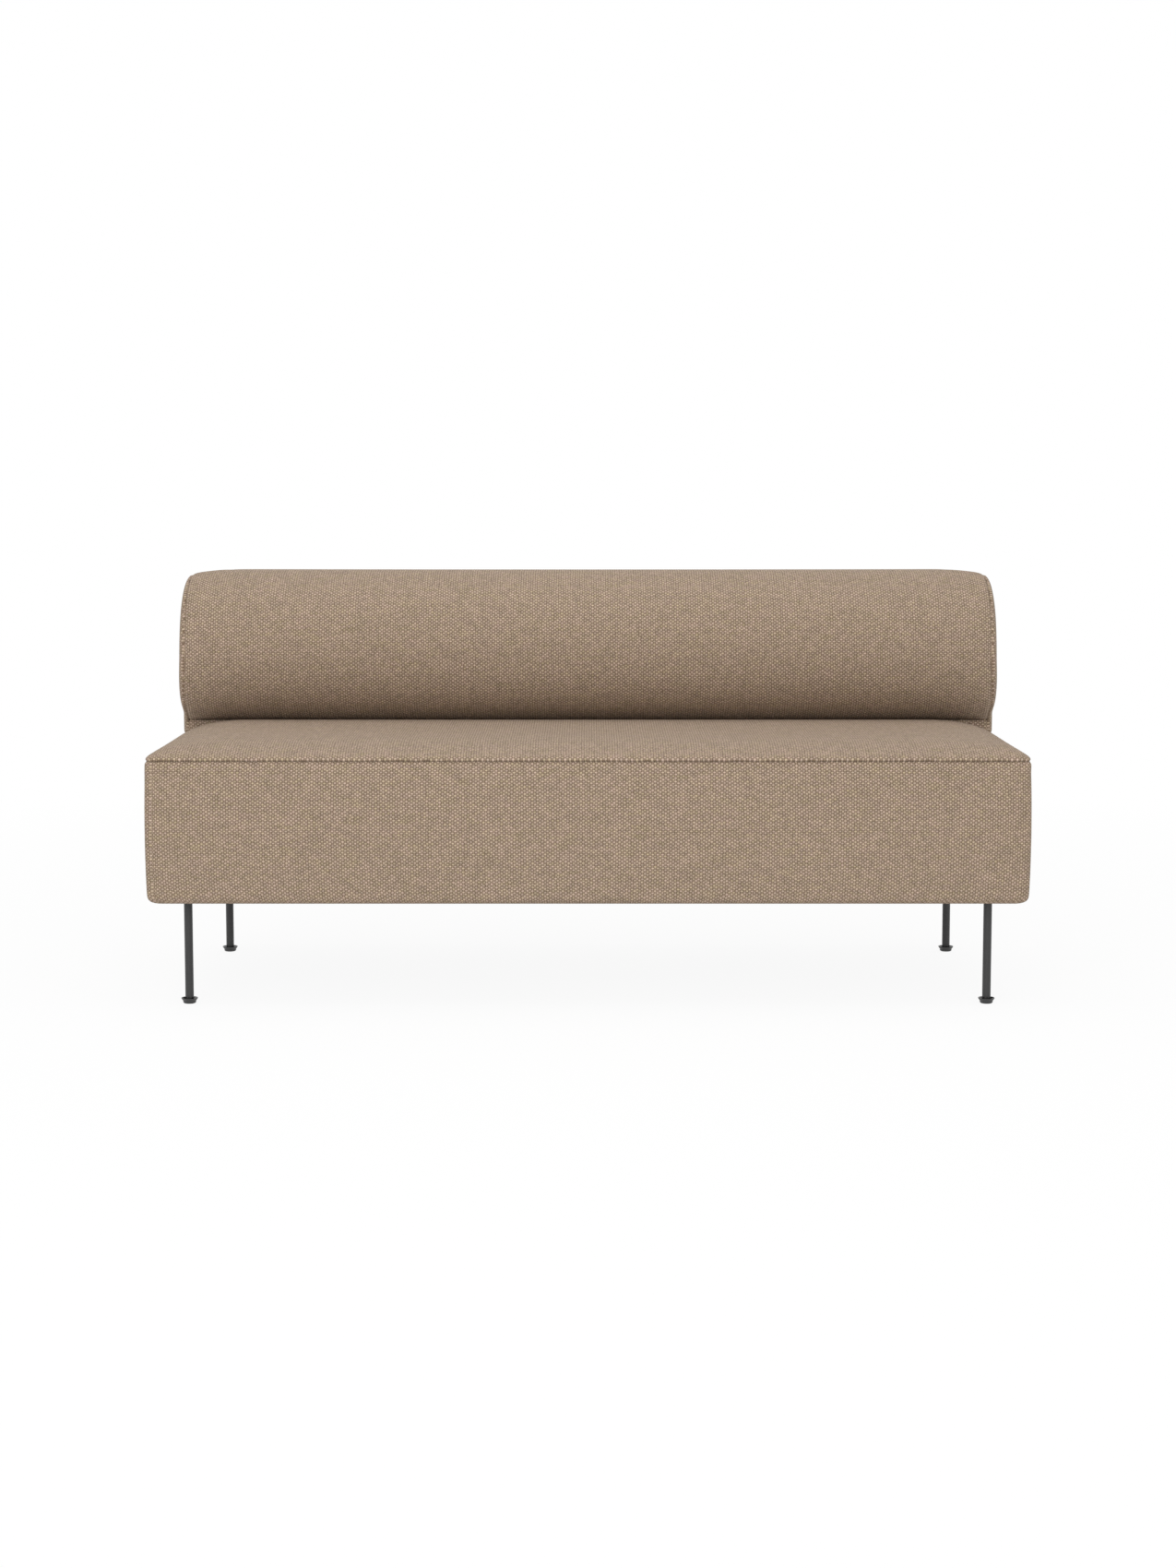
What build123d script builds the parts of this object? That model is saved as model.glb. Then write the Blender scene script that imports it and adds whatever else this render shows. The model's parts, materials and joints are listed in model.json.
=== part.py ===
from build123d import *
import math
import os

# Dining sofa: a crowned seat block on four slim legs, with a bolster backrest on it.
# Millimetres. The floor is Z = 0, the front faces -Y, and X = 0 is the middle.

# Overall sizes
overall_width = 1653.0
overall_depth = 720.0
underside_height = 198.0
seam_height = 466.5
back_seam_height = 793.0
leg_inset = 71.0

# Seat form
corner_radius = 13.0
base_radius = 15.0
bulge_share = 0.51
seam_draw = 3.2
hem_draw = 3.2
crown = 33.0
crown_roll = 130.0
crown_corner_share = 0.5
edge_steps = 3
crown_steps = 4

# Backrest form, in its end view
back_rear_inset = 3.0
back_end_inset = 11.5
neck_depth_share = 0.591
base_lift = 6.0
crease_gap = 1.0
belly_share = 0.3918
curl_radius_share = 0.3646
curl_setback_share = 0.0759
under_angle = 247.0
front_radius_share = 0.8247
front_angle = 23.0
rear_top_radius_share = 0.0687
back_puff = 8.5
back_roll = 60.0
rear_puff = 3.0
cap_puff = 15.0
cap_roll_share = 0.4976
roll_steps = 3

# Cover, padding and clearances
fabric_thickness = 2.0
dust_cover_thickness = 0.8
hem_width = 45.0
soft_gap = 0.3
frame_gap = 0.4
overrun = 10.0
rail_padding = 15.0

# Seat frame
rail_thickness = 25.0
rail_height = 150.0
rail_ease = 7.0
cross_rail_width = 40.0
cross_rail_height = 60.0
cross_rail_spacing_share = 0.3273
block_size = 90.0
block_height = 55.0
block_chamfer = 30.0

# Seat springs
spring_count = 7
spring_end_margin = 135.0
spring_bar_count = 20
spring_bar_length = 32.0
wire_diameter = 3.8
clip_length = 24.0
clip_thickness = 1.2
clip_gap = 0.2
clip_base_depth = 16.0
felt_thickness = 3.0

# Legs, plates and screws
tube_diameter = 16.0
tube_wall = 1.5
plate_size = 70.0
plate_thickness = 3.0
plate_corner_radius = 8.0
screw_offset = 22.0
screw_diameter = 4.5
screw_length = 30.0
screw_head_diameter = 9.0
screw_head_height = 2.4
screw_gap = 0.1
bush_length = 22.0
bush_gap = 0.05

# Levelling feet
foot_rim_diameter = 31.0
foot_base_diameter = 24.6
foot_height = 10.3
foot_base_height = 4.5
foot_edge_radius = 3.0
foot_rim_thickness = 1.2
foot_dish_depth = 3.8
collar_height = 14.0
collar_hole_diameter = 3.0
collar_hole_depth = 2.5
collar_hole_height = 11.0
collar_hole_count = 8
collar_gap = 0.2
stud_diameter = 8.0
stud_reach = 32.0
stud_gap = 0.08
socket_floor = 2.0
socket_gap = 0.2

# Backrest frame, in its end view
frame_end_inset = 25.0
panel_thickness = 15.0
former_thickness = 18.0
former_end_margin = 125.0
former_count = 5
neck_padding_share = 0.0859
former_neck_share = 0.1443
belly_padding_share = 0.1856
belly_rail_drop = 12.0
belly_rail_height = 50.0
belly_rail_depth = 25.0
chest_share = 0.7113
chest_padding_share = 0.323
top_rail_setback_share = 0.2646
top_padding = 34.0
top_rail_thickness = 20.0
bottom_board_thickness = 18.0

# Brackets, bolts and nuts between the backrest and the seat frame
bracket_place_shares = (-0.3485, -0.0697, 0.0697, 0.3485)
bracket_width = 40.0
bracket_thickness = 5.0
bracket_low_share = 0.1847
bracket_high_share = 0.488
seat_bolt_shares = (0.318, 0.7847)
back_bolt_shares = (0.1443, 0.3849)
bolt_diameter = 8.0
bolt_head_diameter = 16.0
bolt_head_height = 4.5
bolt_gap = 0.25
nut_flange_diameter = 22.0
nut_flange_thickness = 1.5
nut_barrel_diameter = 10.8
nut_barrel_length = 9.0

# Places worked out from the sizes above
rear_y = overall_depth / 2
bulge_height = underside_height + bulge_share * (seam_height - underside_height)
leg_x = overall_width / 2 - leg_inset
leg_y = overall_depth / 2 - leg_inset
core_inset = fabric_thickness + soft_gap
rail_outer_x = overall_width / 2 - fabric_thickness - rail_padding - seam_draw
rail_outer_y = overall_depth / 2 - fabric_thickness - rail_padding - seam_draw
rail_low = underside_height + core_inset
rail_high = rail_low + rail_height
wire_height = rail_high + clip_thickness + clip_gap + wire_diameter / 2
clip_radius = wire_diameter / 2 + clip_gap + clip_thickness
felt_low = wire_height + clip_radius + soft_gap
foam_low = felt_low + felt_thickness + soft_gap
plate_low = rail_low - plate_thickness
back_base = seam_height + base_lift
neck_top_height = seam_height + crown + crease_gap
back_rise = back_seam_height - neck_top_height
belly_height = neck_top_height + belly_share * back_rise
curl_radius = curl_radius_share * back_rise
front_radius = front_radius_share * back_rise
rear_top_radius = rear_top_radius_share * back_rise
back_rear_y = rear_y - back_rear_inset
neck_depth = neck_depth_share * back_rise
neck_y = back_rear_y - neck_depth
back_half = overall_width / 2 - back_end_inset
curl_y = neck_y + curl_setback_share * back_rise
frame_half = back_half - frame_end_inset
panel_front_y = rail_outer_y - rail_thickness
panel_rear_y = panel_front_y + panel_thickness
board_low = back_base + core_inset
neck_padding = neck_padding_share * back_rise
belly_padding = belly_padding_share * back_rise
chest_padding = chest_padding_share * back_rise
top_rail_setback = top_rail_setback_share * back_rise
former_neck_height = neck_top_height + former_neck_share * back_rise
belly_rail_low = belly_height - belly_rail_drop
belly_rail_high = belly_rail_low + belly_rail_height
chest_height = neck_top_height + chest_share * back_rise
frame_top_height = back_seam_height - top_padding
cross_rail_spacing = cross_rail_spacing_share * overall_width
spring_spacing = (overall_width - 2 * spring_end_margin) / (spring_count - 1)
former_spacing = (overall_width - 2 * former_end_margin) / (former_count - 1)
bracket_places = [share * overall_width for share in bracket_place_shares]
bracket_low = rail_low + bracket_low_share * rail_height
bracket_high = neck_top_height + bracket_high_share * back_rise
seat_bolt_heights = [rail_low + share * rail_height for share in seat_bolt_shares]
back_bolt_heights = [neck_top_height + share * back_rise for share in back_bolt_shares]
bush_low = collar_height + collar_gap


def steps(count):
    """Angles from 0 to 90 degrees in radians."""
    return [math.radians(90.0 * step / count) for step in range(count + 1)]


def block(low, high):
    """Box between two opposite corners."""
    sizes = [top - bottom for bottom, top in zip(low, high)]
    middle = [(top + bottom) / 2 for bottom, top in zip(low, high)]
    return Pos(*middle) * Box(*sizes)


def rod(x, y, low, high, diameter):
    """Upright cylinder between two heights."""
    return Pos(x, y, (low + high) / 2) * Cylinder(diameter / 2, high - low)


def rod_along_y(x, z, start, end, diameter):
    """Cylinder along Y between two places."""
    turn = Rot(90, 0, 0)
    return Pos(x, (start + end) / 2, z) * turn * Cylinder(diameter / 2, end - start)


def group(solids):
    """Several separate solids as one node."""
    return Compound(children=list(solids))


def save(shape, name):
    export_step(shape, "parts/" + name + ".step")


# Seat form: rounded rectangles stacked from the underside to the top of the crown

def side_draw(height):
    """How far the side is drawn in at a height, from its widest line."""
    if height > bulge_height:
        share = (height - bulge_height) / (seam_height - bulge_height)
        return seam_draw * share ** 2
    share = (bulge_height - height) / (bulge_height - underside_height)
    return hem_draw * share ** 2


def seat_level(height, draw, radius):
    width = overall_width - 2 * draw
    depth = overall_depth - 2 * draw
    return Pos(0, 0, height) * RectangleRounded(width, depth, radius)


def seat_form(inset):
    """The whole seat block, drawn in by inset all round."""
    levels = []
    low = underside_height + inset
    edge_radius = base_radius - inset
    radius = corner_radius - inset
    for angle in steps(edge_steps):
        height = low + edge_radius * (1 - math.cos(angle))
        draw = side_draw(height) + inset + edge_radius * (1 - math.sin(angle))
        levels.append(seat_level(height, draw, radius))
    side_low = low + edge_radius
    side_middle = (side_low + bulge_height) / 2
    for height in (side_middle, bulge_height, seam_height):
        levels.append(seat_level(height, side_draw(height) + inset, radius))
    for angle in steps(crown_steps)[1:]:
        roll = crown_roll * (1 - math.cos(angle))
        height = seam_height + (crown - inset) * math.sin(angle)
        draw = seam_draw + inset + roll
        levels.append(seat_level(height, draw, radius + crown_corner_share * roll))
    return loft(levels, ruled=True)


def back_seat_recess(drop):
    """Where the backrest stands and presses the seat flat."""
    low = (-overall_width, neck_y - soft_gap - drop, back_base - soft_gap - drop)
    high = (overall_width, overall_depth, back_seam_height)
    return block(low, high)


# Backrest form: one section of nine edges, repeated along X

def on_circle(centre, radius, degrees):
    angle = math.radians(degrees)
    return (centre[0] + radius * math.cos(angle), centre[1] + radius * math.sin(angle))


def arc(centre, radius, start, end):
    middle = (start + end) / 2
    points = [on_circle(centre, radius, degrees) for degrees in (start, middle, end)]
    return ThreePointArc(*points)


def back_section(x, grow, rear_grow, base):
    """End view of the backrest at x, grown outwards by grow."""
    curl_centre = (curl_y, belly_height)
    front_centre = (curl_y - curl_radius + front_radius, belly_height)
    hinge = on_circle(front_centre, front_radius, 180 - front_angle)
    rise = 1 - math.sin(math.radians(front_angle))
    shoulder_radius = (back_seam_height - hinge[1]) / rise
    shoulder_centre = on_circle(hinge, shoulder_radius, -front_angle)
    rear = back_rear_y + rear_grow
    top = back_seam_height + grow
    rear_centre = (rear - rear_top_radius, top - rear_top_radius)
    neck = neck_y - min(grow, 0.0)
    under_start = on_circle(curl_centre, curl_radius + grow, under_angle)
    neck_top = (neck, neck_top_height - min(grow, 0.0))
    shoulder_top = (shoulder_centre[0], top)
    edges = [
        Line((neck, base), neck_top),
        Line(neck_top, under_start),
        arc(curl_centre, curl_radius + grow, under_angle, 180),
        arc(front_centre, front_radius + grow, 180, 180 - front_angle),
        arc(shoulder_centre, shoulder_radius + grow, 180 - front_angle, 90),
        Line(shoulder_top, (rear_centre[0], top)),
        arc(rear_centre, rear_top_radius, 90, 0),
        Line((rear, rear_centre[1]), (rear, base)),
        Line((rear, base), (neck, base)),
    ]
    plane = Plane(origin=(x, 0, 0), x_dir=(0, 1, 0), z_dir=(1, 0, 0))
    return plane * make_face(Wire(edges))


def back_stations(inset):
    """Places along X from the middle to the end, with the growth of the section there."""
    stations = []
    for angle in reversed(steps(roll_steps)):
        roll = back_roll * (1 - math.cos(angle))
        stations.append((back_half - roll, back_puff * math.sin(angle), rear_puff * math.sin(angle)))
    cap_roll = cap_roll_share * curl_radius
    for angle in steps(roll_steps)[1:]:
        shrink = -cap_roll * (1 - math.cos(angle))
        stations.append((back_half + (cap_puff - inset) * math.sin(angle), shrink, shrink))
    return stations


def back_form(inset):
    """The whole backrest, drawn in by inset all round."""
    right = back_stations(inset)
    left = [(-x, grow, rear_grow) for x, grow, rear_grow in reversed(right)]
    sections = []
    for x, grow, rear_grow in left + right:
        sections.append(back_section(x, grow - inset, rear_grow - inset, back_base + inset))
    return loft(sections, ruled=True)


# Fastener places shared by the pieces that they pass through

def leg_corners():
    """Sign of X and Y, and the name, of each leg."""
    return [
        (-1, -1, "front_left"),
        (1, -1, "front_right"),
        (-1, 1, "rear_left"),
        (1, 1, "rear_right"),
    ]


def screw_places():
    places = []
    for side_x, side_y, _ in leg_corners():
        for step_x in (-1, 1):
            for step_y in (-1, 1):
                x = side_x * leg_x + step_x * screw_offset
                y = side_y * leg_y + step_y * screw_offset
                places.append((x, y))
    return places


def screw_holes():
    """Shank holes of the plate screws, from under the plates to the screws' tips."""
    low = plate_low - overrun
    high = plate_low + screw_length + screw_gap
    return [rod(x, y, low, high, screw_diameter + 2 * screw_gap) for x, y in screw_places()]


def plate_openings():
    """Openings round the leg plates, for the cover's hem and the dust cover."""
    size = plate_size + 2 * frame_gap
    outline = RectangleRounded(size, size, plate_corner_radius + frame_gap)
    low = plate_low - overrun
    height = rail_low - low
    return [Pos(side_x * leg_x, side_y * leg_y, low) * extrude(outline, height)
            for side_x, side_y, _ in leg_corners()]


def bolt_places():
    return [(x, z) for x in bracket_places for z in seat_bolt_heights + back_bolt_heights]


def bolt_rear(z):
    """Outer face of the wood that a bolt at this height goes through."""
    return rail_outer_y if z < seam_height else panel_rear_y


def bolt_holes():
    """Holes for the bolts and for the nuts' barrels."""
    holes = []
    for x, z in bolt_places():
        rear = bolt_rear(z)
        start = panel_front_y - bracket_thickness - overrun
        holes.append(rod_along_y(x, z, start, rear + overrun, bolt_diameter + 2 * bolt_gap))
        barrel = nut_barrel_diameter + 2 * screw_gap
        holes.append(rod_along_y(x, z, rear - nut_barrel_length, rear + overrun, barrel))
    return holes


def nut_pockets():
    """Room for the nuts' flanges in the padding behind the wood."""
    pockets = []
    for x, z in bolt_places():
        rear = bolt_rear(z)
        end = rear + nut_flange_thickness + soft_gap
        pockets.append(rod_along_y(x, z, rear - soft_gap, end, nut_flange_diameter + 2 * soft_gap))
    return pockets


def bracket_slots(gap):
    """Room for the brackets, with the bolts' heads where they are above the seat frame."""
    slots = []
    for x in bracket_places:
        half = bracket_width / 2 + gap
        low = (x - half, panel_front_y - bracket_thickness - gap, bracket_low - gap)
        high = (x + half, panel_front_y + gap, bracket_high + gap)
        slots.append(block(low, high))
    return slots


# Seat frame

def frame_limit():
    """Outside of the seat frame, with its lower arris eased for the cover's turned edge."""
    limit = block((-rail_outer_x, -rail_outer_y, rail_low), (rail_outer_x, rail_outer_y, rail_high))
    return chamfer(limit.edges().group_by(Axis.Z)[0], rail_ease)


def seat_frame():
    inner_x = rail_outer_x - rail_thickness
    inner_y = rail_outer_y - rail_thickness
    limit = frame_limit()
    front = block((-rail_outer_x, -rail_outer_y, rail_low), (rail_outer_x, -inner_y, rail_high))
    rear = block((-rail_outer_x, inner_y, rail_low), (rail_outer_x, rail_outer_y, rail_high))
    right = block((inner_x, -inner_y, rail_low), (rail_outer_x, inner_y, rail_high))
    right = (right & limit) - screw_holes()
    save((front & limit) - screw_holes(), "frame_rail_front")
    save((rear & limit) - bolt_holes() - screw_holes(), "frame_rail_rear")
    save(mirror(right, about=Plane.YZ), "frame_rail_left")
    save(right, "frame_rail_right")
    for side, name in ((-1, "left"), (1, "right")):
        middle = side * cross_rail_spacing / 2
        half = cross_rail_width / 2
        low = (middle - half, -inner_y, rail_low)
        high = (middle + half, inner_y, rail_low + cross_rail_height)
        save(block(low, high), "cross_rail_" + name)


def corner_blocks():
    """Hardwood blocks inside the corners, which the leg plates are screwed to."""
    inner_x = rail_outer_x - rail_thickness
    inner_y = rail_outer_y - rail_thickness
    blocks = []
    for side_x, side_y, _ in leg_corners():
        x = side_x * (inner_x - block_size / 2)
        y = side_y * (inner_y - block_size / 2)
        size = Box(block_size, block_size, block_height)
        solid = Pos(x, y, rail_low + block_height / 2) * size
        free_edge = solid.edges().filter_by(Axis.Z).sort_by_distance((0, 0, rail_low))[0]
        solid = chamfer(free_edge, block_chamfer)
        blocks.append(solid - screw_holes())
    save(group(blocks), "corner_blocks")


# Seat suspension

def zigzag_spring():
    """Round wire bent into straight bars and half turns, from the front rail to the rear rail."""
    end_y = rail_outer_y - rail_thickness / 2
    pitch = 2 * end_y / (spring_bar_count - 1)
    half = spring_bar_length / 2
    runs = []
    for bar in range(spring_bar_count):
        y = -end_y + bar * pitch
        straight = Rot(0, 90, 0) * Cylinder(wire_diameter / 2, spring_bar_length)
        runs.append(Pos(0, y, wire_height) * straight)
        if bar < spring_bar_count - 1:
            side = 1 if bar % 2 == 0 else -1
            end = Plane(origin=(side * half, y, wire_height), z_dir=(side, 0, 0))
            axis = Axis((side * half, y + pitch / 2, wire_height), (0, 0, side))
            runs.append(revolve(end * Circle(wire_diameter / 2), axis, 180))
    return runs[0] + runs[1:]


def spring_places():
    middle = (spring_count - 1) / 2
    return [spring_spacing * (number - middle) for number in range(spring_count)]


def springs():
    spring = zigzag_spring()
    save(group([Pos(x, 0, 0) * spring for x in spring_places()]), "zigzag_springs")


def spring_clip(x, side):
    """A folded steel clip round one end bar, with its foot flat on the rail."""
    bar_y = side * (rail_outer_y - rail_thickness / 2)
    half = clip_length / 2
    outer_half = Pos(clip_radius, 0) * Rectangle(2 * clip_radius, 4 * clip_radius)
    hook = (Circle(clip_radius) - Circle(clip_radius - clip_thickness)) & outer_half
    plane = Plane(origin=(x - half, bar_y, wire_height), x_dir=(0, side, 0), z_dir=(1, 0, 0))
    foot_low = (x - half, bar_y - clip_base_depth / 2, rail_high)
    foot_high = (x + half, bar_y + clip_base_depth / 2, rail_high + clip_thickness)
    return extrude(plane * hook, clip_length, dir=(1, 0, 0)) + block(foot_low, foot_high)


def spring_clips():
    clips = [spring_clip(x, side) for x in spring_places() for side in (-1, 1)]
    save(group(clips), "spring_clips")


def felt_pad():
    low = (-rail_outer_x, -rail_outer_y, felt_low)
    high = (rail_outer_x, rail_outer_y, felt_low + felt_thickness)
    save(block(low, high) - bracket_slots(soft_gap), "felt_pad")


# Seat foam, padding and covers

def seat_soft_parts():
    core = seat_form(core_inset)
    far = overall_width
    above = block((-far, -far, foam_low), (far, far, far))
    below = block((-far, -far, 0), (far, far, felt_low - soft_gap))
    foam = (core & above) - back_seat_recess(core_inset) - bracket_slots(soft_gap)
    save(foam, "seat_foam")
    x = rail_outer_x + soft_gap
    y = rail_outer_y + soft_gap
    front = (core & below) & block((-far, -far, 0), (far, -y, far))
    rear = (core & below) & block((-far, y, 0), (far, far, far))
    right = (core & below) & block((x, -rail_outer_y, 0), (far, rail_outer_y, far))
    save(front, "padding_front")
    save(rear - nut_pockets(), "padding_rear")
    save(mirror(right, about=Plane.YZ), "padding_left")
    save(right, "padding_right")


def seat_covers():
    far = overall_width
    outer = seat_form(0.0) - back_seat_recess(0.0)
    inner = seat_form(fabric_thickness) - back_seat_recess(fabric_thickness)
    shell = outer - inner
    top = shell & block((-far, -far, seam_height), (far, far, far))
    save(top - bracket_slots(soft_gap), "seat_cover_top")
    opening_x = overall_width / 2 - base_radius - hem_draw - hem_width
    opening_y = overall_depth / 2 - base_radius - hem_draw - hem_width
    hem_opening = block((-opening_x, -opening_y, 0), (opening_x, opening_y, rail_low))
    band = shell & block((-far, -far, 0), (far, far, seam_height))
    save(band - hem_opening - plate_openings(), "seat_cover_band")


def dust_cover():
    half_x = overall_width / 2 - base_radius - hem_draw - hem_width / 2
    half_y = overall_depth / 2 - base_radius - hem_draw - hem_width / 2
    low = (-half_x, -half_y, underside_height - dust_cover_thickness)
    sheet = block(low, (half_x, half_y, underside_height))
    save(sheet - plate_openings(), "dust_cover")


# Legs

def leg(x, y):
    """Round tube welded to its mounting plate."""
    plate = Pos(x, y, plate_low) * extrude(
        RectangleRounded(plate_size, plate_size, plate_corner_radius), plate_thickness)
    tube = rod(x, y, bush_low, plate_low, tube_diameter)
    bore = rod(x, y, bush_low - overrun, plate_low, tube_diameter - 2 * tube_wall)
    return (plate + tube) - bore - screw_holes()


def legs():
    bushes = []
    for side_x, side_y, name in leg_corners():
        x = side_x * leg_x
        y = side_y * leg_y
        save(leg(x, y), "leg_" + name)
        outside = tube_diameter - 2 * tube_wall - 2 * bush_gap
        bush = rod(x, y, bush_low, bush_low + bush_length, outside)
        hole = rod(x, y, bush_low - overrun, bush_low + bush_length + overrun,
                   stud_diameter + 2 * stud_gap)
        bushes.append(bush - hole)
    save(group(bushes), "leg_bushes")
    screws = []
    for x, y in screw_places():
        shank = rod(x, y, plate_low, plate_low + screw_length, screw_diameter)
        head = rod(x, y, plate_low - screw_head_height, plate_low, screw_head_diameter)
        screws.append(shank + head)
    save(group(screws), "leg_plate_screws")


# Levelling feet

def foot_pad(x, y):
    """Flared pad with a dished top and a socket for the stud."""
    base = foot_base_diameter / 2
    rim = foot_rim_diameter / 2
    collar = tube_diameter / 2 + socket_gap
    dish_floor = foot_height - foot_dish_depth
    socket = stud_diameter / 2 + socket_gap
    edge_centre = (base - foot_edge_radius, foot_edge_radius)
    outline = Wire([
        Line((0, 0), (base - foot_edge_radius, 0)),
        arc(edge_centre, foot_edge_radius, -90, 0),
        Line((base, foot_edge_radius), (base, foot_base_height)),
        Line((base, foot_base_height), (rim, foot_height - foot_rim_thickness)),
        Line((rim, foot_height - foot_rim_thickness), (rim, foot_height)),
        Line((rim, foot_height), (rim - foot_rim_thickness, foot_height)),
        Line((rim - foot_rim_thickness, foot_height), (collar, dish_floor)),
        Line((collar, dish_floor), (socket, dish_floor)),
        Line((socket, dish_floor), (socket, socket_floor)),
        Line((socket, socket_floor), (0, socket_floor)),
        Line((0, socket_floor), (0, 0)),
    ])
    plane = Plane(origin=(0, 0, 0), x_dir=(1, 0, 0), z_dir=(0, -1, 0))
    return Pos(x, y, 0) * revolve(plane * make_face(outline), Axis.Z)


def foot_screw(x, y):
    """Stud with the collar that turns it, which has holes for a pin."""
    collar_low = foot_height - foot_dish_depth + socket_gap
    collar = rod(0, 0, collar_low, collar_height, tube_diameter)
    stud = rod(0, 0, socket_floor + socket_gap, collar_height + stud_reach, stud_diameter)
    holes = []
    for number in range(collar_hole_count):
        depth = collar_hole_depth + overrun
        hole = Rot(0, 90, 0) * Cylinder(collar_hole_diameter / 2, depth)
        reach = tube_diameter / 2 - collar_hole_depth + depth / 2
        turned = Rot(0, 0, 360.0 * number / collar_hole_count)
        holes.append(turned * Pos(reach, 0, collar_hole_height) * hole)
    return Pos(x, y, 0) * ((collar + stud) - holes)


def feet():
    for side_x, side_y, name in leg_corners():
        save(foot_pad(side_x * leg_x, side_y * leg_y), "foot_pad_" + name)
        save(foot_screw(side_x * leg_x, side_y * leg_y), "foot_screw_" + name)


# Backrest frame

def frame_outline(gap):
    """End view of the backrest frame, grown by gap, from the bottom board to the top rail."""
    neck = neck_y + neck_padding - gap
    belly = curl_y - curl_radius + belly_padding - gap
    chest = curl_y - curl_radius + chest_padding - gap
    top_front = neck_y + top_rail_setback - gap
    rear = panel_rear_y + gap
    return [
        (neck, board_low - gap),
        (neck, former_neck_height),
        (belly, belly_rail_low - gap),
        (belly, belly_rail_high),
        (chest, chest_height),
        (top_front, frame_top_height + gap),
        (rear, frame_top_height + gap),
        (rear, board_low - gap),
    ]


def frame_prism(points, start, end):
    """Straight run of an end view along X."""
    plane = Plane(origin=(start, 0, 0), x_dir=(0, 1, 0), z_dir=(1, 0, 0))
    face = make_face(Polyline(points, close=True))
    return extrude(plane * face, end - start, dir=(1, 0, 0))


def back_frame():
    belly = curl_y - curl_radius + belly_padding
    top_front = neck_y + top_rail_setback
    slots = bracket_slots(frame_gap)
    panel = block((-frame_half, panel_front_y, board_low), (frame_half, panel_rear_y, frame_top_height))
    board = block((-frame_half, neck_y + neck_padding, board_low),
                  (frame_half, panel_front_y, board_low + bottom_board_thickness))
    top_rail = block((-frame_half, top_front, frame_top_height - top_rail_thickness),
                     (frame_half, panel_front_y, frame_top_height))
    belly_rail = block((-frame_half, belly, belly_rail_low),
                       (frame_half, belly + belly_rail_depth, belly_rail_high))
    save(panel - bolt_holes(), "back_panel")
    save(board - slots, "back_bottom_board")
    save(top_rail, "back_top_rail")
    save(belly_rail, "back_belly_rail")
    for number in range(former_count):
        middle = former_spacing * (number - (former_count - 1) / 2)
        half = former_thickness / 2
        former = frame_prism(frame_outline(0.0), middle - half, middle + half)
        former = former - panel - board - top_rail - belly_rail
        save(former, "back_former_" + str(number + 1))


# Backrest foam and covers

def back_soft_parts():
    far = overall_width
    points = frame_outline(frame_gap)
    low = board_low - overrun
    points[0] = (points[0][0], low)
    points[-1] = (points[-1][0], low)
    room = frame_prism(points, -frame_half - frame_gap, frame_half + frame_gap)
    save(back_form(core_inset) - room - nut_pockets(), "back_foam")
    shell = back_form(0.0) - back_form(fabric_thickness)
    shell = shell - bracket_slots(soft_gap)
    right = shell & block((back_half, -far, 0), (far, far, far))
    save(mirror(right, about=Plane.YZ), "back_cover_end_left")
    save(right, "back_cover_end_right")
    middle = shell & block((-back_half, -far, 0), (back_half, far, far))
    rear_start = back_rear_y - fabric_thickness
    rear_low = (-far, rear_start, 0)
    rear_high = (far, far, back_seam_height - rear_top_radius)
    save(middle & block(rear_low, rear_high), "back_cover_rear")
    save(middle - block(rear_low, rear_high), "back_cover_front")


# Brackets and their fasteners

def brackets():
    bars = [slot - bolt_holes() for slot in bracket_slots(0.0)]
    save(group(bars), "back_brackets")
    bolts = []
    nuts = []
    for x, z in bolt_places():
        start = panel_front_y - bracket_thickness
        rear = bolt_rear(z)
        shank = rod_along_y(x, z, start, rear, bolt_diameter)
        head = rod_along_y(x, z, start - bolt_head_height, start, bolt_head_diameter)
        bolts.append(shank + head)
        flange = rod_along_y(x, z, rear, rear + nut_flange_thickness, nut_flange_diameter)
        barrel = rod_along_y(x, z, rear - nut_barrel_length + soft_gap, rear, nut_barrel_diameter)
        bore = rod_along_y(x, z, rear - overrun, rear + overrun, bolt_diameter + 2 * screw_gap)
        nuts.append((flange + barrel) - bore)
    save(group(bolts), "bracket_bolts")
    save(group(nuts), "bracket_nuts")


os.makedirs("parts", exist_ok=True)
seat_frame()
corner_blocks()
springs()
spring_clips()
felt_pad()
seat_soft_parts()
seat_covers()
dust_cover()
legs()
feet()
back_frame()
back_soft_parts()
brackets()
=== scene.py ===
import bpy
import json
import math
import numpy as np
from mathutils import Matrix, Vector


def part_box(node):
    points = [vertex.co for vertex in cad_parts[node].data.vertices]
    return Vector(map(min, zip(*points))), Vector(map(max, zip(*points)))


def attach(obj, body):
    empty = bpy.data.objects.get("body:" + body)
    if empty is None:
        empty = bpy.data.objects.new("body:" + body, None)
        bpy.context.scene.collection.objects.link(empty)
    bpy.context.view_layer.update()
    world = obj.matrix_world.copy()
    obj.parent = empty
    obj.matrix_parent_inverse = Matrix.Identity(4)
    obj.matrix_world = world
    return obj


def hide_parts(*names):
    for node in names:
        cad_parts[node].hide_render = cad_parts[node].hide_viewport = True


# Looks of the dining sofa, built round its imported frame. Metres, floor at Z = 0, front towards -Y.

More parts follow.
